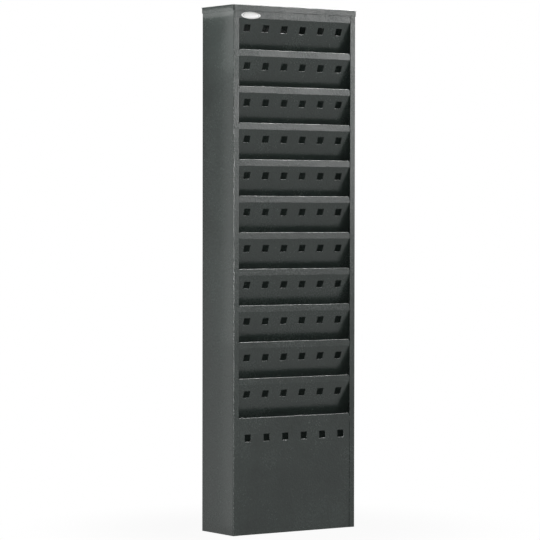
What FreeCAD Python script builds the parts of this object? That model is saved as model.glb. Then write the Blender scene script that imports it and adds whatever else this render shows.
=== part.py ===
import FreeCAD, Part
import math
import os
import re

import Sketcher
from FreeCAD import Placement, Rotation, Vector

# Steel magazine rack with eleven pockets, in millimetres.
#
# Frame: the origin is on the floor under the middle of the casing. +Z is up, the open front faces -Y,
# and +X is to the right of someone who stands in front of the rack.
#
# The casing is two C-shaped side panels, a back panel, a cap and a bottom pan. Inside it hang eleven
# sloping plates. The top one is the header plate. Each of the other ten ends in a hemmed lip at the
# front and carries a shelf at its foot, so that magazines stand between it and the plate above. The
# eleventh pocket is behind the flat panel that closes the front below the lips.

SIZES = (
    # alias, value, what it is
    ("overall_height", 921, "floor to the top of the cap"),
    ("casing_width", 260.4, "outside of one side panel to outside of the other"),
    ("casing_depth", 100, "front of the stiles to the back of the rear returns"),
    ("gauge", 0.9, "thickness of the sheet steel"),
    ("bend_inside", 1.0, "inside radius of a press bend"),
    ("stile_width", 11.2, "front return of a side panel, beside the pockets"),
    ("rear_return", 12, "rear return of a side panel"),
    ("side_clearance", 1.2, "side wall to the side edge of a plate inside"),
    ("cap_flange", 10.5, "height of the cap's turned-down edge"),
    ("cap_clearance", 0.3, "casing to the inside of the cap's flange"),
    ("pan_flange", 15, "height of the bottom pan's turned-up edge"),
    ("corner_relief", 2.2, "square notch where two flanges of a pan meet"),
    ("header_drop", 23, "top of the cap to the bend at the foot of the header strip"),
    ("header_to_lip", 54, "that bend to the top of the highest lip"),
    ("lip_height", 11.5, "top of a lip to the bend at its foot"),
    ("hem_depth", 6, "how far a hem is folded back down"),
    ("hem_radius", 0.75, "rounding of the fold of a hem"),
    ("hem_setback", 0.5, "edge of a stile to the end of a hem"),
    ("hem_corner", 3.5, "rounded end of a hem, seen from the front"),
    ("ear_drop", 5, "top of a hem to the ear that laps behind a stile"),
    ("plate_slope", 20, "degrees of a plate from the vertical"),
    ("plate_length", 190, "bend under the lip to the shelf, along the slope"),
    ("plate_tab", 12, "height of the tab that holds a shelf to the back panel"),
    ("hole_side", 12.7, "side of a square hole"),
    ("hole_corner", 0.6, "corner radius of a square hole"),
    ("hole_rim", 0.35, "bevel that the punch leaves round the front of a hole"),
    ("holes_in_row", 6, "square holes in one row"),
    ("plate_hole_spacing", 39.1, "one hole to the next on a sloping plate"),
    ("plate_hole_drop", 17.9, "bend to the middle of the holes, along the slope"),
    ("front_panel_top", 204, "floor to the top of the lower front panel"),
    ("front_to_lip", 68.5, "top of the lower front panel to the top of the lowest lip"),
    ("front_hole_spacing", 39.7, "one hole to the next on the lower front panel"),
    ("front_hole_drop", 35.4, "top of the lower front panel to the middle of its holes"),
    ("weld_radius", 2.2, "radius of the dimple that a spot weld leaves"),
    ("weld_depth", 0.15, "depth of that dimple"),
    ("weld_from_edge", 5.0, "free edge of a stile to the middle of a weld"),
    ("weld_drop", 8.3, "top of a lip to the middle of its weld"),
    ("front_weld_spacing", 60, "one weld of the lower front panel to the next"),
    ("keyhole_drop", 53, "top of the cap to the middle of a keyhole's round end"),
    ("keyhole_spacing", 160, "one keyhole to the other"),
    ("keyhole_head_radius", 5, "round end, which passes the screw's head"),
    ("keyhole_slot_radius", 2.6, "half the width of the slot, which holds the shank"),
    ("keyhole_slot_rise", 10, "middle of the round end to the middle of the slot's end"),
    ("badge_width", 40, "width of the oval badge"),
    ("badge_height", 12.4, "height of the oval badge"),
    ("badge_thickness", 1.2, "thickness of the oval badge"),
    ("badge_edge", 0.5, "rounding of the badge's front edge"),
    ("badge_from_side", 36.1, "outside of the left side panel to the middle of the badge"),
    ("badge_rise", 5, "bend at the foot of the header strip to the middle of the badge"),
)
POCKET_PLATES = 10
FRONT_WELDS = 3
RIM_ANGLE = 45
FACING = 1e-6

doc = FreeCAD.newDocument("display_rack")
sheet = doc.addObject("Spreadsheet::Sheet", "sizes")
for row, (alias, size, meaning) in enumerate(SIZES, start=1):
    sheet.set(f"A{row}", alias)
    sheet.set(f"B{row}", str(size))
    sheet.set(f"C{row}", meaning)
    sheet.setAlias(f"B{row}", alias)
doc.recompute()

ALIASES = {alias for alias, size, meaning in SIZES}

# Sizes that follow from the sheet.
BEND_OUTSIDE = "(bend_inside + gauge)"
SIDE_WALL = "(casing_width / 2 - gauge)"
STILE_EDGE = "(casing_width / 2 - stile_width)"
PLATE_EDGE = f"({SIDE_WALL} - side_clearance)"
LIP_FACE = "(gauge - casing_depth / 2)"
BACK_FACE = "(casing_depth / 2 - 2 * gauge)"
LIP_TO_BACK = f"({BACK_FACE} - {LIP_FACE})"
CAP_OVERHANG = "(gauge + cap_clearance)"
UNDER_CAP = "(overall_height - gauge)"
HEADER_BEND = "(overall_height - header_drop)"
FIRST_LIP_TOP = f"({HEADER_BEND} - header_to_lip)"
FIRST_BEND = f"({FIRST_LIP_TOP} - lip_height)"
# The lips share out the height from the lowest to the highest. In this rack they are 63.5 mm apart.
PITCH = f"(({FIRST_LIP_TOP} - front_to_lip - front_panel_top) / {POCKET_PLATES - 1})"
KEYHOLE_HEIGHT = "(overall_height - keyhole_drop)"


def bound(expression):
    """Put the sheet's name before each of its aliases."""
    return re.sub(r"[a-z_]+", lambda word: f"sizes.{word[0]}" if word[0] in ALIASES else word[0], expression)


def value(expression):
    """What an expression comes to now."""
    return float(sheet.evalExpression(bound(expression)))


def new_body(label):
    """An empty body, whose label names its file."""
    body = doc.addObject("PartDesign::Body", label)
    body.Label = label
    return body


def place(body, across="0", back="0", up="0"):
    """Move a body to a place given by expressions."""
    for axis, expression in (("x", across), ("y", back), ("z", up)):
        body.setExpression(f"Placement.Base.{axis}", bound(expression))


def sketch_on(body, role, name, off="0", tilt="0"):
    """A sketch on an origin plane, off it along its normal and tilted about its own first axis."""
    sketch = body.newObject("Sketcher::SketchObject", name)
    origin_plane = next(feature for feature in body.Origin.OriginFeatures if feature.Role == role)
    sketch.AttachmentSupport = (origin_plane, [""])
    sketch.MapMode = "FlatFace"
    sketch.AttachmentOffset = Placement(Vector(0, 0, 0), Rotation(Vector(1, 0, 0), 0))
    if off != "0":
        sketch.setExpression("AttachmentOffset.Base.z", bound(off))
    if tilt != "0":
        sketch.AttachmentOffset = Placement(Vector(0, 0, 0), Rotation(Vector(1, 0, 0), value(tilt)))
        sketch.setExpression("AttachmentOffset.Rotation.Angle", bound(tilt))
    return sketch


def add_sized(sketch, constraint, expression):
    """Add one constraint whose size is an expression."""
    index = sketch.addConstraint(constraint)
    sketch.setExpression(f"Constraints[{index}]", bound(expression))


def outline(sketch, corners):
    """Draw a closed loop. A corner is (across, up) or (across, up, radius), all expressions."""
    points = [Vector(value(corner[0]), value(corner[1]), 0) for corner in corners]
    radii = [value(corner[2]) if len(corner) == 3 else 0 for corner in corners]
    count = len(corners)
    heading = [(points[(i + 1) % count] - points[i]).normalize() for i in range(count)]
    arrive, leave = [], []
    for i in range(count):
        turn = heading[i - 1].getAngle(heading[i])
        trim = radii[i] * math.tan(turn / 2)
        arrive.append(points[i] - heading[i - 1] * trim)
        leave.append(points[i] + heading[i] * trim)

    sides = [sketch.addGeometry(Part.LineSegment(leave[i], arrive[(i + 1) % count])) for i in range(count)]
    for i in range(count):
        before, after = sides[i - 1], sides[i]
        corner = sketch.addGeometry(Part.Point(points[i]), True)
        if radii[i]:
            round_corner(sketch, before, after, corner, arrive[i], leave[i], heading[i - 1], corners[i][2])
        else:
            sketch.addConstraint(Sketcher.Constraint("Coincident", before, 2, corner, 1))
            sketch.addConstraint(Sketcher.Constraint("Coincident", after, 1, corner, 1))
        add_sized(sketch, Sketcher.Constraint("DistanceX", -1, 1, corner, 1, points[i].x), corners[i][0])
        add_sized(sketch, Sketcher.Constraint("DistanceY", -1, 1, corner, 1, points[i].y), corners[i][1])


def round_corner(sketch, before, after, corner, start, end, heading, radius):
    """Join two sides with an arc that touches both. Their lines meet at the corner point."""
    size = value(radius)
    left = Vector(-heading.y, heading.x, 0)
    turns_left = left.dot(end - start) > 0
    centre = start + left * (size if turns_left else -size)
    angles = [math.atan2(point.y - centre.y, point.x - centre.x) for point in (start, end)]
    first, last = (1, 2) if turns_left else (2, 1)
    if not turns_left:
        angles.reverse()
    circle = Part.Circle(centre, Vector(0, 0, 1), size)
    arc = sketch.addGeometry(Part.ArcOfCircle(circle, angles[0], angles[1]))
    sketch.addConstraint(Sketcher.Constraint("PointOnObject", corner, 1, before))
    sketch.addConstraint(Sketcher.Constraint("PointOnObject", corner, 1, after))
    sketch.addConstraint(Sketcher.Constraint("Tangent", before, 2, arc, first))
    sketch.addConstraint(Sketcher.Constraint("Tangent", arc, last, after, 1))
    add_sized(sketch, Sketcher.Constraint("Radius", arc, size), radius)


def rectangle(sketch, left, right, bottom, top, radius=None):
    """Draw a rectangle from expressions, with rounded corners if a radius is given."""
    tail = (radius,) if radius else ()
    places = ((left, bottom), (right, bottom), (right, top), (left, top))
    outline(sketch, [place_of_corner + tail for place_of_corner in places])


def circle(sketch, across, up, radius):
    """Draw a circle from expressions."""
    middle = Vector(value(across), value(up), 0)
    ring = sketch.addGeometry(Part.Circle(middle, Vector(0, 0, 1), value(radius)))
    add_sized(sketch, Sketcher.Constraint("DistanceX", -1, 1, ring, 3, middle.x), across)
    add_sized(sketch, Sketcher.Constraint("DistanceY", -1, 1, ring, 3, middle.y), up)
    add_sized(sketch, Sketcher.Constraint("Radius", ring, value(radius)), radius)


def pad(body, sketch, length, name, symmetric=False):
    """Grow a sketch into a solid, along its normal or to both sides of it."""
    feature = body.newObject("PartDesign::Pad", name)
    feature.Profile = sketch
    feature.SideType = "Symmetric" if symmetric else "One side"
    feature.setExpression("Length", bound(length))
    doc.recompute()
    return feature


def cut(body, sketch, depth, name, narrowing=0):
    """Cut a sketch into the body, against its normal. It may narrow as it goes in, by an angle in degrees."""
    volume = body.Shape.Volume
    feature = body.newObject("PartDesign::Pocket", name)
    feature.Profile = sketch
    feature.SideType = "One side"
    feature.TaperAngle = -narrowing
    feature.setExpression("Length", bound(depth))
    doc.recompute()
    if not body.Shape.Volume < volume:
        raise RuntimeError(f"{body.Label}: {name} removes nothing")
    return feature


def repeat(body, features, direction, spacing, count, name):
    """Repeat features in a row. The spacing and the count are expressions."""
    pattern = body.newObject("PartDesign::LinearPattern", name)
    pattern.Originals = features
    pattern.Direction = direction
    pattern.setExpression("Occurrences", bound(count))
    pattern.setExpression("Length", bound(f"{spacing} * ({count} - 1)"))
    body.Tip = pattern
    doc.recompute()
    return pattern


def fillet_face(body, direction, radius, name):
    """Round every edge of the largest flat face that looks in a direction."""
    base = body.Tip
    facing = [(face.Area, f"Face{i}") for i, face in enumerate(base.Shape.Faces, start=1)
              if isinstance(face.Surface, Part.Plane) and face.normalAt(0, 0).isEqual(direction, FACING)]
    feature = body.newObject("PartDesign::Fillet", name)
    feature.Base = (base, [max(facing)[1]])
    feature.setExpression("Radius", bound(radius))
    doc.recompute()
    return feature


def side_panel(label, side):
    """One C-shaped side panel. The side is -1 for the left and 1 for the right."""
    body = new_body(label)
    profile = sketch_on(body, "XY_Plane", "section")
    front, rear = "-casing_depth / 2", "casing_depth / 2"
    rear_end = "casing_width / 2 - rear_return"
    corners = [
        ("casing_width / 2", front, BEND_OUTSIDE),
        ("casing_width / 2", rear, BEND_OUTSIDE),
        (rear_end, rear),
        (rear_end, f"{rear} - gauge"),
        (SIDE_WALL, f"{rear} - gauge", "bend_inside"),
        (SIDE_WALL, f"{front} + gauge", "bend_inside"),
        (STILE_EDGE, f"{front} + gauge"),
        (STILE_EDGE, front),
    ]
    outline(profile, [(f"{side} * ({corner[0]})",) + corner[1:] for corner in corners])
    pad(body, profile, UNDER_CAP, "wall")

    across = f"{side} * ({STILE_EDGE} + weld_from_edge)"
    weld_dimples(body, across, f"{HEADER_BEND} + lip_height", "header_weld")
    weld_dimples(body, across, FIRST_LIP_TOP, "lip_weld", PITCH, str(POCKET_PLATES))
    weld_dimples(body, across, "front_panel_top", "front_weld", "front_weld_spacing", str(FRONT_WELDS))
    return body


def weld_dimples(body, across, top, name, spacing=None, count=None):
    """A shallow round dimple in a stile, below the top of what it holds, or a row of them going down."""
    sketch = sketch_on(body, "XZ_Plane", f"{name}_place", off="casing_depth / 2")
    circle(sketch, across, f"{top} - weld_drop", "weld_radius")
    dimple = cut(body, sketch, "weld_depth", name)
    if spacing:
        row = repeat(body, [dimple], (sketch, ["V_Axis"]), spacing, count, f"{name}s")
        row.Reversed = True
        doc.recompute()


def folded_tray(label, half_width, half_depth, flange, bend, relief_from):
    """A pan with its floor at the bottom, four flanges turned up and its corners notched."""
    body = new_body(label)
    blank = sketch_on(body, "XY_Plane", "blank")
    rectangle(blank, f"-{half_width}", half_width, f"-{half_depth}", half_depth)
    pad(body, blank, flange, "block")
    fillet_face(body, Vector(0, 0, -1), f"{bend} + gauge", "outside_bends")

    inside = sketch_on(body, "XY_Plane", "inside", off=flange)
    rectangle(inside, f"gauge - {half_width}", f"{half_width} - gauge",
              f"gauge - {half_depth}", f"{half_depth} - gauge")
    cut(body, inside, f"{flange} - gauge", "hollow")
    fillet_face(body, Vector(0, 0, 1), bend, "inside_bends")

    notches = sketch_on(body, "XY_Plane", "notches", off=flange)
    for across in (-1, 1):
        for back in (-1, 1):
            edges_across = sorted((f"{across} * {half_width}", f"{across} * ({half_width} - corner_relief)"),
                                  key=value)
            edges_back = sorted((f"{back} * {half_depth}", f"{back} * ({half_depth} - corner_relief)"),
                                key=value)
            rectangle(notches, *edges_across, *edges_back)
    cut(body, notches, f"{flange} - {relief_from}", "corner_notches")
    return body


def top_cap():
    """The lid: the same kind of tray, turned over, that fits over the casing."""
    half_width = f"(casing_width / 2 + {CAP_OVERHANG})"
    half_depth = f"(casing_depth / 2 + {CAP_OVERHANG})"
    # The bends are as tight as the gap round the casing, so its top edges bear flat on the lid.
    body = folded_tray("top_cap", half_width, half_depth, "cap_flange", "cap_clearance", CAP_OVERHANG)
    body.Placement = Placement(Vector(0, 0, 0), Rotation(Vector(1, 0, 0), 180))
    place(body, up="overall_height")
    return body


def bottom_pan():
    """The tray between the panels that closes the base. Its underside is level with their feet."""
    return folded_tray("bottom_pan", SIDE_WALL, BACK_FACE, "pan_flange", "bend_inside", "0")


def back_panel():
    """The flat sheet against the rear returns, with two keyholes to hang the rack by."""
    body = new_body("back_panel")
    blank = sketch_on(body, "XZ_Plane", "blank")
    rectangle(blank, f"-{PLATE_EDGE}", PLATE_EDGE, "0", UNDER_CAP)
    pad(body, blank, "gauge", "sheet")

    head = sketch_on(body, "XZ_Plane", "keyhole_head", off="gauge")
    circle(head, "-keyhole_spacing / 2", KEYHOLE_HEIGHT, "keyhole_head_radius")
    heads = cut(body, head, "gauge", "head_hole")
    slot = sketch_on(body, "XZ_Plane", "keyhole_slot", off="gauge")
    slot_end = f"{KEYHOLE_HEIGHT} + keyhole_slot_rise"
    rectangle(slot, "-keyhole_spacing / 2 - keyhole_slot_radius",
              "-keyhole_spacing / 2 + keyhole_slot_radius", KEYHOLE_HEIGHT, slot_end)
    slots = cut(body, slot, "gauge", "slot")
    tip = sketch_on(body, "XZ_Plane", "keyhole_tip", off="gauge")
    circle(tip, "-keyhole_spacing / 2", slot_end, "keyhole_slot_radius")
    tips = cut(body, tip, "gauge", "slot_end")
    repeat(body, [heads, slots, tips], (head, ["H_Axis"]), "keyhole_spacing", "2", "keyholes")
    place(body, back="casing_depth / 2 - gauge")
    return body


def hem_corners(top):
    """The folded top edge of a lip or panel whose front face is at 0 and which is this high."""
    return [
        ("0", top, "hem_radius"),
        ("2 * gauge", top, "hem_radius"),
        ("2 * gauge", f"{top} - hem_depth"),
        ("gauge", f"{top} - hem_depth"),
    ]


def trim_hem_ends(body, top):
    """Round off the ends of a hem and leave an ear below each, which laps behind a stile."""
    hem_end = f"({STILE_EDGE} - hem_setback)"
    notches = sketch_on(body, "XZ_Plane", "hem_ends")
    for side in (-1, 1):
        outline(notches, [
            (f"{side} * {hem_end}", top, "hem_corner"),
            (f"{side} * {hem_end}", f"{top} - ear_drop"),
            (f"{side} * ({PLATE_EDGE} + gauge)", f"{top} - ear_drop"),
            (f"{side} * ({PLATE_EDGE} + gauge)", f"{top} + gauge"),
            (f"{side} * ({hem_end} - hem_corner - gauge)", f"{top} + gauge"),
            (f"{side} * ({hem_end} - hem_corner - gauge)", top),
        ])
    cut(body, notches, "3 * gauge", "hem_end_trim")


def hole_row(body, spacing, up, tilt="0"):
    """A row of square holes with bevelled rims, through a sheet whose front passes through the origin."""
    first = f"(-{spacing} * (holes_in_row - 1) / 2)"

    def square(name, half_side, corner):
        sketch = sketch_on(body, "XZ_Plane", name, tilt=tilt)
        rectangle(sketch, f"{first} - {half_side}", f"{first} + {half_side}",
                  f"{up} - {half_side}", f"{up} + {half_side}", corner)
        return sketch

    hole_sketch = square("hole_place", "hole_side / 2", "hole_corner")
    hole = cut(body, hole_sketch, "2 * gauge", "square_hole")
    rim = cut(body, square("rim_place", "(hole_side / 2 + hole_rim)", "hole_corner + hole_rim"),
              "hole_rim", "rim", narrowing=RIM_ANGLE)
    repeat(body, [hole, rim], (hole_sketch, ["H_Axis"]), spacing, "holes_in_row", "holes")


def sloping_plate(label, bend_height, lip, hemmed):
    """A bent plate: lip, sloping panel, shelf and rear tab. Its bend under the lip is at bend_height."""
    body = new_body(label)
    run, rise = "sin(plate_slope)", "cos(plate_slope)"
    foot_back = f"(plate_length * {run})"
    foot_up = f"(-plate_length * {rise})"
    # The shelf's underside rises to the back from the foot of the panel.
    shelf_at_tab = f"({foot_up} + ({LIP_TO_BACK} - {foot_back}) * tan(plate_slope))"
    shelf_inside_tab = f"({shelf_at_tab} - gauge * tan(plate_slope) + gauge / {rise})"
    top = hem_corners(lip) if hemmed else [("0", lip), ("gauge", lip)]
    profile = sketch_on(body, "YZ_Plane", "section")
    outline(profile, top + [
        ("gauge", "gauge * tan(plate_slope / 2)", "bend_inside"),
        (f"{foot_back} + gauge * ({rise} - {run})", f"{foot_up} + gauge * ({run} + {rise})", "bend_inside"),
        (f"{LIP_TO_BACK} - gauge", shelf_inside_tab, "bend_inside"),
        (f"{LIP_TO_BACK} - gauge", f"{shelf_at_tab} + plate_tab"),
        (LIP_TO_BACK, f"{shelf_at_tab} + plate_tab"),
        (LIP_TO_BACK, shelf_at_tab, BEND_OUTSIDE),
        (foot_back, foot_up, BEND_OUTSIDE),
        ("0", "0", BEND_OUTSIDE),
    ])
    pad(body, profile, f"2 * {PLATE_EDGE}", "bent_sheet", symmetric=True)
    if hemmed:
        trim_hem_ends(body, lip)
    hole_row(body, "plate_hole_spacing", "(-plate_hole_drop)", tilt="plate_slope")
    place(body, back=LIP_FACE, up=bend_height)
    return body


def lower_front_panel():
    """The flat panel that closes the front below the lips, with a hem and one row of holes."""
    body = new_body("lower_front_panel")
    profile = sketch_on(body, "YZ_Plane", "section")
    outline(profile, hem_corners("front_panel_top") + [("gauge", "0"), ("0", "0")])
    pad(body, profile, f"2 * {PLATE_EDGE}", "sheet", symmetric=True)
    trim_hem_ends(body, "front_panel_top")
    hole_row(body, "front_hole_spacing", "(front_panel_top - front_hole_drop)")
    place(body, back=LIP_FACE)
    return body


def oval_badge():
    """A blank oval plate on the header strip, with its front edge rounded."""
    body = new_body("oval_badge")
    sketch = sketch_on(body, "XZ_Plane", "oval")
    half_width, half_height = value("badge_width / 2"), value("badge_height / 2")
    ends = Vector(half_width, 0, 0), Vector(0, half_height, 0)
    oval = sketch.addGeometry(Part.Ellipse(*ends, Vector(0, 0, 0)))
    sketch.exposeInternalGeometry(oval)
    long_axis, short_axis = oval + 1, oval + 2
    sketch.addConstraint(Sketcher.Constraint("Coincident", oval, 3, -1, 1))
    sketch.addConstraint(Sketcher.Constraint("Horizontal", long_axis))
    add_sized(sketch, Sketcher.Constraint("Distance", long_axis, 2 * half_width), "badge_width")
    add_sized(sketch, Sketcher.Constraint("Distance", short_axis, 2 * half_height), "badge_height")
    pad(body, sketch, "badge_thickness", "plate")
    fillet_face(body, Vector(0, -1, 0), "badge_edge", "rounded_edge")
    place(body, across="badge_from_side - casing_width / 2", back=LIP_FACE, up=f"{HEADER_BEND} + badge_rise")
    return body


def pocket_plates():
    """The plates with lips, from the highest down."""
    plates = []
    for step in range(POCKET_PLATES):
        bend = f"{FIRST_BEND} - {step} * {PITCH}"
        plates.append(sloping_plate(f"pocket_plate_{step + 1:02d}", bend, "lip_height", hemmed=True))
    return plates


def build():
    """Make every piece, check it and write it."""
    pieces = [side_panel("side_panel_left", -1), side_panel("side_panel_right", 1)]
    pieces += [back_panel(), top_cap(), bottom_pan()]
    header_strip = "(header_drop - gauge - cap_clearance)"
    pieces.append(sloping_plate("header_plate", HEADER_BEND, header_strip, hemmed=False))
    pieces += pocket_plates()
    pieces += [lower_front_panel(), oval_badge()]
    doc.recompute()

    faults = [thing.Name for thing in doc.Objects if {"Invalid", "Error"} & set(thing.State)]
    faults += [piece.Label for piece in pieces if piece.Shape.isNull() or not piece.Shape.isValid()]
    faults += [piece.Label for piece in pieces if len(piece.Shape.Solids) != 1]
    if faults:
        raise RuntimeError(f"failed: {faults}")
    os.makedirs("parts", exist_ok=True)
    for piece in pieces:
        piece.Shape.exportStep(f"parts/{piece.Label}.step")
        print(f"{piece.Label}: {piece.Shape.Volume:.0f} mm3")


build()
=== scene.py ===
"""Finishes a sheet-steel magazine rack: powder coat, weld marks, a blank domed badge and a studio."""

import math

import bpy
from bpy.props import BoolProperty, FloatProperty, IntProperty, PointerProperty, StringProperty
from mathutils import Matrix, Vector


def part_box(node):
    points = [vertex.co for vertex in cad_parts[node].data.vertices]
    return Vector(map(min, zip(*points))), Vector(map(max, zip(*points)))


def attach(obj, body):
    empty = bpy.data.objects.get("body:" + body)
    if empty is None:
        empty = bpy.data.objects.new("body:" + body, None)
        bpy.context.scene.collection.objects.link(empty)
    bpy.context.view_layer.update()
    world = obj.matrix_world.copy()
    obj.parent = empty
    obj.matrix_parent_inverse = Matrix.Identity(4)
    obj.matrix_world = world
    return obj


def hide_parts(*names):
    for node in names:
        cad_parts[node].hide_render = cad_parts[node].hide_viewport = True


bl_info = {
    "name": "Magazine Rack Finishes",
    "version": (1, 0, 0),
    "blender": (4, 5, 0),
    "location": "View3D > Sidebar > Rack",
    "description": "Coats a steel magazine rack, marks its welds, adds its badge and lights it",
    "category": "Object",
}

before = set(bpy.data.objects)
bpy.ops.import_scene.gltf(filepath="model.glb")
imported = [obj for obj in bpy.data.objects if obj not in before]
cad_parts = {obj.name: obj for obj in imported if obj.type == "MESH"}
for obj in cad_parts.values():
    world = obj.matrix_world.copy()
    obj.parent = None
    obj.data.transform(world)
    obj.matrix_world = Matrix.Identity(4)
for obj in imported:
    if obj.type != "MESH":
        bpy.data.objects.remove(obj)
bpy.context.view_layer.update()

MM = 0.001
STEEL = [name for name in sorted(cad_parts) if name != "oval_badge"]
SHELVES = [name for name in STEEL if name.startswith(("header_plate", "pocket_plate_"))]

# Places that every piece is set from, read from the frame.
STILE_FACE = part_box("side_panel_left")[0].y
BACK_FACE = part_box("back_panel")[1].y

# How the marks are found in the solids.
DIMPLE_DEPTHS = (0.1 * MM, 0.2 * MM)  # between these, a vertex is on the floor of a dimple
DIMPLE_GAP = 5 * MM  # more than a dimple is high, and less than there is between two
SAME_LEVEL = 0.01 * MM

# Outlines from the foot to the middle. A weld mark: shares of its radius and of its crown.
WELD_OUTLINE = ((1.0, -1.6), (1.0, -0.15), (0.88, 0.85), (0.74, 1.0), (0.62, 0.15), (0.40, -0.55),
                (0.12, -0.75))
# The badge's rim: how far in as a share of its width, and how far up as a share of its height.
RIM_OUTLINE = ((0, 0), (0, 0.65), (0.15, 0.88), (0.4, 1), (0.8, 1), (1.0, 0.9))
WELD_SIDES = 24
BADGE_SIDES = 96
CREASE = math.radians(40)  # an edge that turns by less is shaded smooth

# The stage, in metres. Each lamp: its place, what it looks at, its width and its height.
RACK_MIDDLE = (0, 0, 0.5)
POCKETS = (0, 0, 0.7)
LAMPS = {
    "fill": ((-2.44, -3.54, 0.50), RACK_MIDDLE, 0.3, 0.3),
    "bend_glint": ((-1.33, -4.09, 0.50), RACK_MIDDLE, 0.3, 0.3),
    "hem_glint": ((1.7, -0.89, 2.9), RACK_MIDDLE, 0.4, 0.4),
    "softbox_low": ((1.8, -2.6, 0.8), POCKETS, 0.8, 0.5),
    "softbox_high": ((1.95, -2.6, 1.1), POCKETS, 0.8, 0.5),
    "spot": ((1.95, -2.6, 1.2), POCKETS, 0.3, 0.3),
    "overhead": ((0.4, -0.9, 1.9), (0, -0.05, 0.7), 0.5, 0.25),
    "side_card": ((-0.172, -0.03, 0.46), (0, -0.03, 0.46), 0.14, 0.91),
    "side_card_middle": ((-0.172, -0.03, 0.625), (0, -0.03, 0.625), 0.14, 0.59),
    "side_card_high": ((-0.172, -0.03, 0.77), (0, -0.03, 0.77), 0.14, 0.30),
    "side_card_top": ((-0.172, -0.03, 0.865), (0, -0.03, 0.865), 0.14, 0.11),
    "cap_card": ((-0.152, 0.01, 0.912), (0, 0.01, 0.912), 0.17, 0.014),
}
FLOOR_SIZE = 60
FLOOR_DROP = 0.02 * MM  # keeps the paper off the underside of the rack
SENSOR_WIDTH = 36  # millimetres
CAMERA_PLACE = (-2.7089, -3.9327, 0.5563)
CAMERA_TURN = (90 - 1.162, -0.081, -34.365)  # degrees

# Sockets of a mix node that have no name of their own: for colours, then for numbers.
COLOUR_A, COLOUR_B, COLOUR_OUT = 6, 7, 2
NUMBER_A, NUMBER_B, NUMBER_OUT = 2, 3, 0


def linear(hex_colour):
    """An sRGB hex colour, such as #383c3b, as linear RGB."""
    channels = [int(hex_colour[start:start + 2], 16) / 255 for start in (1, 3, 5)]
    return [c / 12.92 if c <= 0.04045 else ((c + 0.055) / 1.055) ** 2.4 for c in channels]


def colour(name, description, default):
    """A colour property, stored as sRGB hex text."""
    return StringProperty(name=name, description=description, default=default)


def size(name, description, default_mm):
    """A length property in metres, with its default given in millimetres."""
    return FloatProperty(name=name, description=description, default=default_mm * MM, unit="LENGTH",
                         precision=5)


# ---------------------------------------------------------------------------------------------------
# Settings


class RackCoat(bpy.types.PropertyGroup):
    pigment: colour("Pigment", "Charcoal pigment of the powder", "#323a37")
    worn: colour("Worn edge", "Thin coat along a bend", "#485150")
    # The colour of the painted highlight on rounded edges that face up.
    painted_highlight: colour("Painted edge highlight", "Painted highlight along an edge that faces up", "#c4c8c7")
    roughness: FloatProperty(name="Roughness", description="Of the semi-gloss coat", default=0.24,
                             min=0, max=1, subtype="FACTOR")
    grit: size("Grit", "Distance between bumps of the fine texture", 3.0)
    orange_peel: size("Orange peel", "Distance between the waves of the flow of the coat", 9.0)
    drift: size("Drift", "Distance over which the coat changes its shade", 70.0)
    edge: size("Edge", "Radius to which the coat rounds a sheared edge", 0.5)
    # How far the painted highlight on edges that face up reaches from the edge.
    highlight_reach: size("Highlight reach", "How far the painted highlight reaches from an edge that faces up", 0.9)


class RackWelds(bpy.types.PropertyGroup):
    radius: size("Radius", "Outside of the ring round a spot weld", 3.1)
    crown: size("Crown", "Height of that ring on a stile", 0.03)
    back_crown: size("Back crown", "Height of the ring on the back, which isn't dressed", 0.16)
    tab_count: IntProperty(name="Tab count", description="Welds along each shelf's rear tab",
                           default=4, min=1)
    tab_inset: size("Tab inset", "Side of the back panel to the first weld of a tab", 30.0)


class RackBadge(bpy.types.PropertyGroup):
    enamel: colour("Enamel", "White face of the badge", "#fafaf8")
    line: colour("Line", "Fine line inside the rim", "#b9bdbc")
    dome: size("Dome", "How far the middle stands out from the rim", 0.35)
    rim: size("Rim", "Width of the rolled rim", 0.7)
    rings: IntProperty(name="Rings", description="Rings of faces over the dome", default=9, min=2)


class RackStudio(bpy.types.PropertyGroup):
    floor: colour("Floor", "Pale floor", "#f2f2f2")
    ambient: FloatProperty(name="Ambient", description="Even light from the white room", default=0.08,
                           min=0)
    fill: FloatProperty(name="Fill", description="Lamp beside the camera", default=35.0, min=0)
    bend_glint: FloatProperty(name="Bend glint", default=150.0, min=0,
                              description="Lamp right of the camera, for reflections alone")
    hem_glint: FloatProperty(name="Hem glint", default=115.0, min=0,
                             description="Lamp high at the right, for reflections alone")
    softbox_low: FloatProperty(name="Softbox, low", description="Large lamp at the front right",
                               default=5.7, min=0)
    softbox_high: FloatProperty(name="Softbox, high", description="Large lamp above that one",
                                default=4.2, min=0)
    spot: FloatProperty(name="Spot", description="Small lamp above both", default=2.8, min=0)
    overhead: FloatProperty(name="Overhead", description="Lamp above the front", default=3.8, min=0)
    side_card: FloatProperty(name="Side card", description="Tall lit card close to the left side",
                             default=0.166, min=0)
    side_card_middle: FloatProperty(name="Side card, middle", default=0.070, min=0,
                                    description="Card over the upper two thirds of that one")
    side_card_high: FloatProperty(name="Side card, high", default=0.044, min=0,
                                  description="Card over its upper third")
    side_card_top: FloatProperty(name="Side card, top", default=0.026, min=0,
                                 description="Card near its top")
    cap_card: FloatProperty(name="Cap card", description="Narrow card beside the cap", default=0.0125,
                            min=0)
    far_wall: FloatProperty(name="Far wall", description="Brightness of the wall behind, in reflections",
                            default=0.51, min=0, max=1, subtype="FACTOR")
    dark_side: FloatProperty(name="Dark side", description="Brightness of the room left of the camera",
                             default=0.3, min=0, max=1, subtype="FACTOR")
    shadow: FloatProperty(name="Shadow", description="How much of its shading the floor shows",
                          default=0.06, min=0, max=1, subtype="FACTOR")
    lens: FloatProperty(name="Lens", description="Focal length in millimetres", default=179.65, min=1)
    lamps_show: BoolProperty(name="Lamps show", description="Whether the camera sees the lamps",
                             default=False)


# ---------------------------------------------------------------------------------------------------
# Materials


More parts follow.
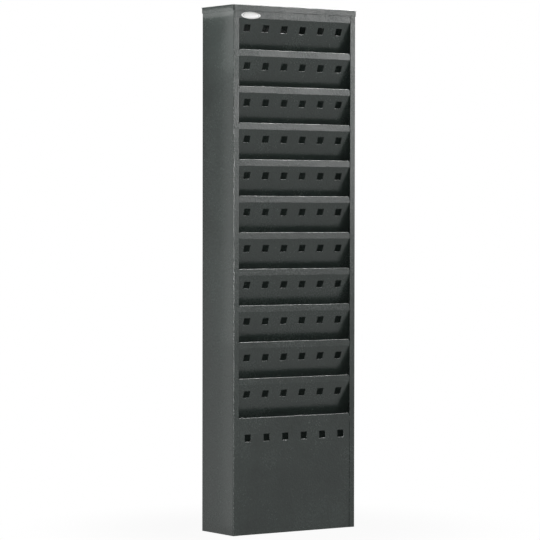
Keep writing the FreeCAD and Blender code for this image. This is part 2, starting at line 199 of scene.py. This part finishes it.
def node(tree, kind, settings=None, links=None):
    """Add a shader node. Settings are attributes or input values, links are input: output socket."""
    made = tree.nodes.new(kind)
    for key, value in (settings or {}).items():
        if isinstance(key, int) or key in made.inputs:
            made.inputs[key].default_value = value
        else:
            setattr(made, key, value)
    for key, source in (links or {}).items():
        tree.links.new(source, made.inputs[key])
    return made


def new_material(name):
    """An empty material, with its tree and its shader."""
    material = bpy.data.materials.new(name)
    material.use_nodes = True
    tree = material.node_tree
    tree.nodes.clear()
    shader = node(tree, "ShaderNodeBsdfPrincipled")
    node(tree, "ShaderNodeOutputMaterial", links={"Surface": shader.outputs["BSDF"]})
    return material, tree, shader


def per_metre(distance):
    """The scale of a noise whose features are this far apart."""
    return 1 / distance


def powder_coat(name, coat, reach):
    """Polyester powder, sprayed and baked: a dark, semi-gloss skin with a fine pebbled texture.

    The real grit is under a millimetre. It is drawn coarser, so that it still shows at a distance.
    Reach is 1 on a sheet, and next to nothing on a mark that is thinner than an edge is round.
    """
    material, tree, shader = new_material(name)
    place = node(tree, "ShaderNodeTexCoord").outputs["Object"]
    grit = node(tree, "ShaderNodeTexNoise", {"Scale": per_metre(coat.grit), "Detail": 1.0},
                {"Vector": place})
    peel = node(tree, "ShaderNodeTexNoise", {"Scale": per_metre(coat.orange_peel), "Detail": 1.0},
                {"Vector": place})
    drift = node(tree, "ShaderNodeTexNoise", {"Scale": per_metre(coat.drift), "Detail": 3.0},
                 {"Vector": place})

    # The coat flows round a sheared edge, and is thin there.
    rounded = node(tree, "ShaderNodeBevel", {"samples": 6, "Radius": coat.edge * reach})
    normal = node(tree, "ShaderNodeNewGeometry").outputs["Normal"]
    facing = node(tree, "ShaderNodeVectorMath", {"operation": "DOT_PRODUCT"},
                  {0: rounded.outputs["Normal"], 1: normal})
    on_sheet, on_edge = 0.995, 0.90
    edge = node(tree, "ShaderNodeMapRange", {"From Min": on_sheet, "From Max": on_edge},
                {"Value": facing.outputs["Value"]})
    patchy = node(tree, "ShaderNodeMapRange", {"From Min": 0.35, "From Max": 0.70, "To Min": 0.15,
                                               "To Max": 0.75}, {"Value": grit.outputs["Fac"]})
    worn = node(tree, "ShaderNodeMath", {"operation": "MULTIPLY"},
                {0: edge.outputs["Result"], 1: patchy.outputs["Result"]})

    # Painted highlight: its rounded edges that face up, the hems and the feet of holes, are made lighter
    # where light from above would catch them.
    wide = node(tree, "ShaderNodeBevel", {"samples": 6, "Radius": coat.highlight_reach * reach})
    upwards = node(tree, "ShaderNodeSeparateXYZ", links={0: wide.outputs["Normal"]}).outputs["Z"]
    near_top = node(tree, "ShaderNodeMapRange", {"From Min": 0.40, "From Max": 0.65},
                    {"Value": upwards})
    own = node(tree, "ShaderNodeSeparateXYZ", links={0: normal}).outputs["Z"]
    not_level = node(tree, "ShaderNodeMapRange", {"From Min": 0.95, "From Max": 0.85}, {"Value": own})
    painted_highlight = node(tree, "ShaderNodeMath", {"operation": "MULTIPLY"},
                  {0: near_top.outputs["Result"], 1: not_level.outputs["Result"]})

    # The pigment is a little lighter on the peaks of the grit and drifts over the sheet.
    pigment = linear(coat.pigment)
    darkest, lightest, grit_share = 0.86, 1.18, 0.65
    dark = [darkest * c for c in pigment] + [1]
    light = [lightest * c for c in pigment] + [1]
    speckle = node(tree, "ShaderNodeMath", {"operation": "MULTIPLY_ADD", 1: grit_share},
                   {0: grit.outputs["Fac"], 2: drift.outputs["Fac"]})
    low, high = 0.55, 1.10
    share = node(tree, "ShaderNodeMapRange", {"From Min": low, "From Max": high},
                 {"Value": speckle.outputs["Value"]})
    base = node(tree, "ShaderNodeMix", {"data_type": "RGBA", COLOUR_A: dark, COLOUR_B: light},
                {"Factor": share.outputs["Result"]})
    tone = node(tree, "ShaderNodeMix", {"data_type": "RGBA", COLOUR_B: linear(coat.worn) + [1]},
                {"Factor": worn.outputs["Value"], COLOUR_A: base.outputs[COLOUR_OUT]})
    # Mixes in the painted highlight on rounded edges that face up.
    edged = node(tree, "ShaderNodeMix", {"data_type": "RGBA", COLOUR_B: linear(coat.painted_highlight) + [1]},
                 {"Factor": painted_highlight.outputs["Value"], COLOUR_A: tone.outputs[COLOUR_OUT]})
    tree.links.new(edged.outputs[COLOUR_OUT], shader.inputs["Base Color"])

    spread = 0.07
    gloss = node(tree, "ShaderNodeMapRange", {"From Min": low, "From Max": high,
                                              "To Min": coat.roughness - spread,
                                              "To Max": coat.roughness + spread},
                 {"Value": speckle.outputs["Value"]})
    tree.links.new(gloss.outputs["Result"], shader.inputs["Roughness"])

    waves = node(tree, "ShaderNodeBump", {"Strength": 0.25, "Distance": 0.12 * MM},
                 {"Height": peel.outputs["Fac"], "Normal": rounded.outputs["Normal"]})
    pebbles = node(tree, "ShaderNodeBump", {"Strength": 0.9, "Distance": 0.30 * MM},
                   {"Height": grit.outputs["Fac"], "Normal": waves.outputs["Normal"]})
    tree.links.new(pebbles.outputs["Normal"], shader.inputs["Normal"])
    shader.inputs["IOR"].default_value = 1.42
    return material


def badge_enamel(badge, middle, half_width, half_height):
    """Moulded ABS with a clear domed lacquer: bright white, smooth and glossy, with one fine line."""
    material, tree, shader = new_material("white_domed_badge")
    place = node(tree, "ShaderNodeTexCoord").outputs["Object"]
    centred = node(tree, "ShaderNodeMapping", {"vector_type": "TEXTURE", "Location": middle,
                                               "Scale": (half_width, 1, half_height)},
                   {"Vector": place})
    flat = node(tree, "ShaderNodeVectorMath", {"operation": "MULTIPLY", 1: (1, 0, 1)},
                {0: centred.outputs["Vector"]})
    outwards = node(tree, "ShaderNodeVectorMath", {"operation": "LENGTH"}, {0: flat.outputs["Vector"]})
    line_at, line_half = 0.80, 0.022
    off_line = node(tree, "ShaderNodeMath", {"operation": "SUBTRACT", 1: line_at},
                    {0: outwards.outputs["Value"]})
    distance = node(tree, "ShaderNodeMath", {"operation": "ABSOLUTE"}, {0: off_line.outputs["Value"]})
    line = node(tree, "ShaderNodeMapRange", {"From Min": line_half, "From Max": line_half * 1.6,
                                             "To Min": 1.0, "To Max": 0.0},
                {"Value": distance.outputs["Value"]})
    tone = node(tree, "ShaderNodeMix", {"data_type": "RGBA", COLOUR_A: linear(badge.enamel) + [1],
                                        COLOUR_B: linear(badge.line) + [1]},
                {"Factor": line.outputs["Result"]})
    tree.links.new(tone.outputs[COLOUR_OUT], shader.inputs["Base Color"])
    shader.inputs["Roughness"].default_value = 0.22
    shader.inputs["IOR"].default_value = 1.5
    shader.inputs["Coat Weight"].default_value = 0.5
    shader.inputs["Coat Roughness"].default_value = 0.08
    return material


# ---------------------------------------------------------------------------------------------------
# Pieces


def deselect_all():
    """Leave nothing selected, because an operator acts on all that is."""
    if bpy.context.object and bpy.context.object.mode != "OBJECT":
        bpy.ops.object.mode_set(mode="OBJECT")
    bpy.ops.object.select_all(action="DESELECT")


def finish_piece(piece, name, material):
    """Name a piece, put its place in its mesh, give it its finish and let it ride on the rack."""
    piece.name = name
    piece.data.name = name
    bpy.ops.object.mode_set(mode="OBJECT")
    bpy.ops.object.transform_apply(location=True, rotation=True, scale=True)
    piece.data.materials.clear()
    piece.data.materials.append(material)
    bpy.ops.object.shade_smooth_by_angle(angle=CREASE)
    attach(piece, "root")


def boss(outlines, segments):
    """Model a round or oval boss in edit mode, facing +Z and closed behind.

    Its outlines go from the foot to the middle. Each is half a width, half a height and how far up.
    """
    deselect_all()
    bpy.ops.mesh.primitive_circle_add(vertices=segments, radius=1, fill_type="NGON")
    piece = bpy.context.object
    bpy.ops.object.mode_set(mode="EDIT")
    bpy.ops.mesh.select_mode(type="FACE")
    bpy.ops.mesh.select_all(action="SELECT")
    wide, tall, level = 1.0, 1.0, 0.0
    for step, (next_wide, next_tall, next_level) in enumerate(outlines):
        if step:
            bpy.ops.mesh.extrude_region_move()
        bpy.ops.transform.resize(value=(next_wide / wide, next_tall / tall, 1))
        bpy.ops.transform.translate(value=(0, 0, next_level - level))
        wide, tall, level = next_wide, next_tall, next_level

    bpy.ops.mesh.select_mode(type="EDGE")
    bpy.ops.mesh.select_all(action="DESELECT")
    bpy.ops.mesh.select_non_manifold()
    bpy.ops.mesh.edge_face_add()
    bpy.ops.mesh.select_all(action="SELECT")
    bpy.ops.mesh.normals_make_consistent(inside=False)
    bpy.ops.object.mode_set(mode="OBJECT")
    return piece


def weld_mark(radius, crown):
    """One spot-weld mark: a raised ring round a shallow crater. Its foot is inside the sheet."""
    return boss([(radius * share, radius * share, crown * rise) for share, rise in WELD_OUTLINE],
                WELD_SIDES)


def weld_row(name, places, facing, radius, crown):
    """Copy one weld mark to each place and join the copies.

    Facing is -1 for the front and 1 for the back.
    """
    pattern = weld_mark(radius, crown)
    marks = []
    for place in places:
        mark = pattern.copy()
        mark.data = pattern.data.copy()
        mark.rotation_euler = (math.radians(-90 * facing), 0, 0)
        mark.location = place
        bpy.context.scene.collection.objects.link(mark)
        marks.append(mark)
    bpy.data.objects.remove(pattern)
    deselect_all()
    for mark in marks:
        mark.select_set(True)
    bpy.context.view_layer.objects.active = marks[0]
    bpy.ops.object.join()
    finish_piece(marks[0], name, weld_material())


def coat_material(name="charcoal_powder_coat", reach=1.0):
    """A powder-coat material, made the first time that it is asked for."""
    return bpy.data.materials.get(name) or powder_coat(name, bpy.context.scene.rack_coat, reach)


def weld_material():
    """The same coat on the weld marks, which are thinner than its edges are round."""
    return coat_material("charcoal_powder_coat_on_welds", 0.02)


class RACK_OT_coat_steel(bpy.types.Operator):
    """Give every sheet-steel piece its powder coat"""

    bl_idname = "rack.coat_steel"
    bl_label = "Coat steel"

    def execute(self, context):
        material = coat_material()
        for name in STEEL:
            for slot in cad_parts[name].material_slots:
                slot.material = material
        return {"FINISHED"}


class RACK_OT_stile_welds(bpy.types.Operator):
    """Mark the spot welds that hold the lips and the front panel to the stiles"""

    bl_idname = "rack.stile_welds"
    bl_label = "Stile welds"

    def execute(self, context):
        welds = context.scene.rack_welds
        for side in ("left", "right"):
            places = dimples(f"side_panel_{side}")
            weld_row(f"stile_welds_{side}", places, -1, welds.radius, welds.crown)
        return {"FINISHED"}


class RACK_OT_back_welds(bpy.types.Operator):
    """Mark the spot welds that hold each shelf's tab to the back panel"""

    bl_idname = "rack.back_welds"
    bl_label = "Back welds"

    def execute(self, context):
        welds = context.scene.rack_welds
        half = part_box("back_panel")[1].x - welds.tab_inset
        places = []
        for name in SHELVES:
            height = tab_height(name)
            for step in range(welds.tab_count):
                across = -half + 2 * half * step / (welds.tab_count - 1)
                places.append((across, BACK_FACE, height))
        weld_row("back_welds", places, 1, welds.radius, welds.back_crown)
        return {"FINISHED"}


def dimples(panel):
    """Middles of the shallow round dimples in a side panel's stile, on its front face."""
    foot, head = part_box(panel)[0].z + MM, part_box(panel)[1].z - MM
    least, most = DIMPLE_DEPTHS
    floors = [vertex.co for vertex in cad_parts[panel].data.vertices
              if least < vertex.co.y - STILE_FACE < most and foot < vertex.co.z < head]
    rows = []
    for point in sorted(floors, key=lambda co: co.z):
        if not rows or point.z - rows[-1][-1].z > DIMPLE_GAP:
            rows.append([])
        rows[-1].append(point)
    middles = []
    for row in rows:
        across = [point.x for point in row]
        up = [point.z for point in row]
        middles.append(((min(across) + max(across)) / 2, STILE_FACE, (min(up) + max(up)) / 2))
    return middles


def tab_height(name):
    """Middle of the flat tab by which a plate is fixed to the back panel."""
    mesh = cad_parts[name].data
    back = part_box(name)[1].y
    on_tab = [vertex.co.z for vertex in mesh.vertices if vertex.co.y > back - SAME_LEVEL]
    return (min(on_tab) + max(on_tab)) / 2


class RACK_OT_badge(bpy.types.Operator):
    """Model the blank oval badge: a rolled rim round a domed face"""

    bl_idname = "rack.badge"
    bl_label = "Badge"

    def execute(self, context):
        badge = context.scene.rack_badge
        low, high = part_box("oval_badge")
        middle, extent = (low + high) / 2, (high - low) / 2
        rim_top = 2 * extent.y - badge.dome
        outlines = []
        for share_in, share_up in RIM_OUTLINE:
            inwards = share_in * badge.rim
            outlines.append((extent.x - inwards, extent.z - inwards, share_up * rim_top))
        wide, tall, level = outlines[-1]
        rise = 2 * extent.y - level
        for ring in range(1, badge.rings + 1):
            angle = math.pi / 2 * ring / (badge.rings + 1)
            outlines.append((wide * math.cos(angle), tall * math.cos(angle),
                             level + rise * math.sin(angle)))
        piece = boss(outlines, BADGE_SIDES)
        piece.rotation_euler = (math.radians(90), 0, 0)
        piece.location = (middle.x, high.y, middle.z)
        material = badge_enamel(badge, middle, extent.x, extent.z)
        finish_piece(piece, "domed_badge", material)
        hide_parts("oval_badge")
        return {"FINISHED"}


# ---------------------------------------------------------------------------------------------------
# Stage


def seen_directly(tree):
    """1 for what the camera, a reflection or glass sees, 0 for light that falls on things."""
    path = node(tree, "ShaderNodeLightPath")
    either = node(tree, "ShaderNodeMath", {"operation": "MAXIMUM"},
                  {0: path.outputs["Is Camera Ray"], 1: path.outputs["Is Glossy Ray"]})
    return node(tree, "ShaderNodeMath", {"operation": "MAXIMUM"},
                {0: either.outputs["Value"], 1: path.outputs["Is Transmission Ray"]}).outputs["Value"]


def white_room(studio):
    """The world: white where it is seen, and a plain even light elsewhere."""
    world = bpy.data.worlds.new("white_room")
    world.use_nodes = True
    tree = world.node_tree
    tree.nodes.clear()
    strength = node(tree, "ShaderNodeMapRange", {"To Min": studio.ambient, "To Max": 1.0},
                    {"Value": seen_directly(tree)})
    # In reflections the wall behind is dimmer, and the room is dark above and left of the camera.
    place = node(tree, "ShaderNodeTexCoord").outputs["Generated"]
    toward = node(tree, "ShaderNodeSeparateXYZ", links={0: place})
    walls = []
    for axis, start, end, level in (("Y", 0.2, 0.8, studio.far_wall),
                                    ("X", 0.05, -0.3, studio.dark_side)):
        walls.append(node(tree, "ShaderNodeMapRange", {"interpolation_type": "SMOOTHSTEP",
                                                       "From Min": start, "From Max": end,
                                                       "To Min": 1.0, "To Max": level},
                          {"Value": toward.outputs[axis]}).outputs["Result"])
    far_wall, dark_side = walls
    front = node(tree, "ShaderNodeMapRange", {"From Min": 0.2, "From Max": 0.0},
                 {"Value": toward.outputs["Y"]})
    high = node(tree, "ShaderNodeMapRange", {"From Min": 0.02, "From Max": 0.10},
                {"Value": toward.outputs["Z"]})
    corner = node(tree, "ShaderNodeMath", {"operation": "MULTIPLY"},
                  {0: front.outputs["Result"], 1: high.outputs["Result"]})
    side = node(tree, "ShaderNodeMix", {NUMBER_A: 1.0},
                {"Factor": corner.outputs["Value"], NUMBER_B: dark_side})
    wall = node(tree, "ShaderNodeMath", {"operation": "MULTIPLY"},
                {0: far_wall, 1: side.outputs[NUMBER_OUT]})
    path = node(tree, "ShaderNodeLightPath")
    reflected = node(tree, "ShaderNodeMix", {NUMBER_A: 1.0},
                     {"Factor": path.outputs["Is Glossy Ray"], NUMBER_B: wall.outputs["Value"]})
    level = node(tree, "ShaderNodeMath", {"operation": "MULTIPLY"},
                 {0: strength.outputs["Result"], 1: reflected.outputs[NUMBER_OUT]})
    light = node(tree, "ShaderNodeBackground", {"Color": (1, 1, 1, 1)},
                 {"Strength": level.outputs["Value"]})
    node(tree, "ShaderNodeOutputWorld", links={"Surface": light.outputs["Background"]})
    bpy.context.scene.world = world


def floor_paper(studio):
    """Matt white paper. It fades to the white of the room, and shows the rack's shadow."""
    material, tree, shader = new_material("studio_paper")
    shader.inputs["Base Color"].default_value = linear(studio.floor) + [1]
    shader.inputs["Roughness"].default_value = 0.9
    place = node(tree, "ShaderNodeTexCoord").outputs["Object"]
    away = node(tree, "ShaderNodeVectorMath", {"operation": "LENGTH"}, {0: place})
    near = node(tree, "ShaderNodeMapRange", {"interpolation_type": "SMOOTHSTEP", "From Min": 0.15,
                                             "From Max": 0.5, "To Min": 1.0 - studio.shadow,
                                             "To Max": 1.0}, {"Value": away.outputs["Value"]})
    share = node(tree, "ShaderNodeMath", {"operation": "MULTIPLY"},
                 {0: near.outputs["Result"], 1: seen_directly(tree)})
    glow = node(tree, "ShaderNodeEmission", {"Color": (1, 1, 1, 1), "Strength": 1.0})
    mixed = node(tree, "ShaderNodeMixShader", {}, {0: share.outputs["Value"],
                                                   1: shader.outputs["BSDF"],
                                                   2: glow.outputs["Emission"]})
    output = next(n for n in tree.nodes if n.type == "OUTPUT_MATERIAL")
    tree.links.new(mixed.outputs["Shader"], output.inputs["Surface"])
    return material


def lamp(name, place, target, width, height, power, shown):
    """A rectangular soft lamp that looks at a target. A glint shows in reflections alone."""
    data = bpy.data.lights.new(name, "AREA")
    data.shape = "RECTANGLE"
    data.size, data.size_y = width, height
    data.energy = power
    made = bpy.data.objects.new(name, data)
    made.location = place
    made.rotation_euler = (Vector(target) - Vector(place)).to_track_quat("-Z", "Y").to_euler()
    made.visible_camera = shown
    made.visible_diffuse = not name.endswith("glint")
    bpy.context.scene.collection.objects.link(made)


class RACK_OT_studio(bpy.types.Operator):
    """Set up the white room, its floor and its lamps"""

    bl_idname = "rack.studio"
    bl_label = "Studio"

    def execute(self, context):
        studio = context.scene.rack_studio
        white_room(studio)
        deselect_all()
        bpy.ops.mesh.primitive_plane_add(size=FLOOR_SIZE, location=(0, 0, -FLOOR_DROP))
        floor = context.object
        floor.name = "studio_floor"
        floor.data.materials.append(floor_paper(studio))
        for name, (place, target, width, height) in LAMPS.items():
            lamp(name, place, target, width, height, getattr(studio, name), studio.lamps_show)
        return {"FINISHED"}


class RACK_OT_camera(bpy.types.Operator):
    """Place the long-lens camera, from the front left and a little above half height"""

    bl_idname = "rack.camera"
    bl_label = "Camera"

    def execute(self, context):
        data = bpy.data.cameras.new("rack_camera")
        data.lens = context.scene.rack_studio.lens
        data.sensor_width = SENSOR_WIDTH
        made = bpy.data.objects.new("rack_camera", data)
        made.location = CAMERA_PLACE
        made.rotation_euler = [math.radians(angle) for angle in CAMERA_TURN]
        context.scene.collection.objects.link(made)
        context.scene.camera = made
        context.scene.view_settings.view_transform = "Standard"
        return {"FINISHED"}


class RACK_PT_sidebar(bpy.types.Panel):
    """Lists the steps that finish the rack"""

    bl_label = "Magazine Rack"
    bl_idname = "RACK_PT_sidebar"
    bl_space_type = "VIEW_3D"
    bl_region_type = "UI"
    bl_category = "Rack"

    def draw(self, context):
        for operator in STEPS:
            self.layout.operator(operator.bl_idname)


SETTINGS = {
    "rack_coat": RackCoat,
    "rack_welds": RackWelds,
    "rack_badge": RackBadge,
    "rack_studio": RackStudio,
}
STEPS = (
    RACK_OT_coat_steel,
    RACK_OT_stile_welds,
    RACK_OT_back_welds,
    RACK_OT_badge,
    RACK_OT_studio,
    RACK_OT_camera,
)


def register():
    for made in (*SETTINGS.values(), *STEPS, RACK_PT_sidebar):
        bpy.utils.register_class(made)
    for name, group in SETTINGS.items():
        setattr(bpy.types.Scene, name, PointerProperty(type=group))


def unregister():
    for name in SETTINGS:
        delattr(bpy.types.Scene, name)
    for made in (RACK_PT_sidebar, *reversed(STEPS), *reversed(SETTINGS.values())):
        bpy.utils.unregister_class(made)


def main():
    """Run every step."""
    register()
    bpy.ops.rack.coat_steel()
    bpy.ops.rack.stile_welds()
    bpy.ops.rack.back_welds()
    bpy.ops.rack.badge()
    bpy.ops.rack.studio()
    bpy.ops.rack.camera()


if __name__ == "__main__":
    main()
